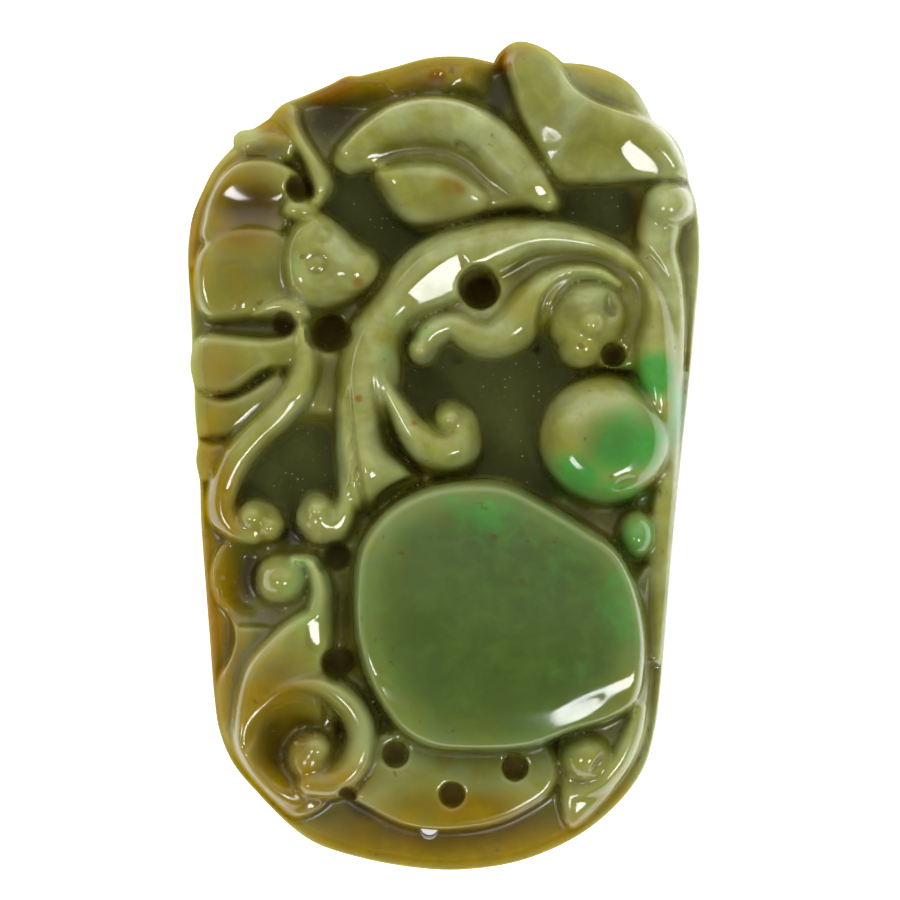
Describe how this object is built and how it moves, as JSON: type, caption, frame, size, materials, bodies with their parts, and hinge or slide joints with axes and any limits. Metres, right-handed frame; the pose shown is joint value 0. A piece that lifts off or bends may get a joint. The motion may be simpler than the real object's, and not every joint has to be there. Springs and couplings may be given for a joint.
{
  "type": "jade carving",
  "caption": "Flat tapering stone carving in high relief, with a bat, leaves, a curling stem, a cloud scroll and plain discs, to lie on its back or hang from a cord hole.",
  "frame": {"origin": "middle of the flat back, under the middle of the carving's box", "axes": "+Z out of the carved side, +Y along the length towards the broad end with the leaves, +X across"},
  "size_m": [0.0384, 0.062, 0.011],
  "materials": {
    "jade": "polished olive and russet jade"
  },
  "bodies": {
    "root": {"jade_carving": "jade"}
  },
  "joints": []
}
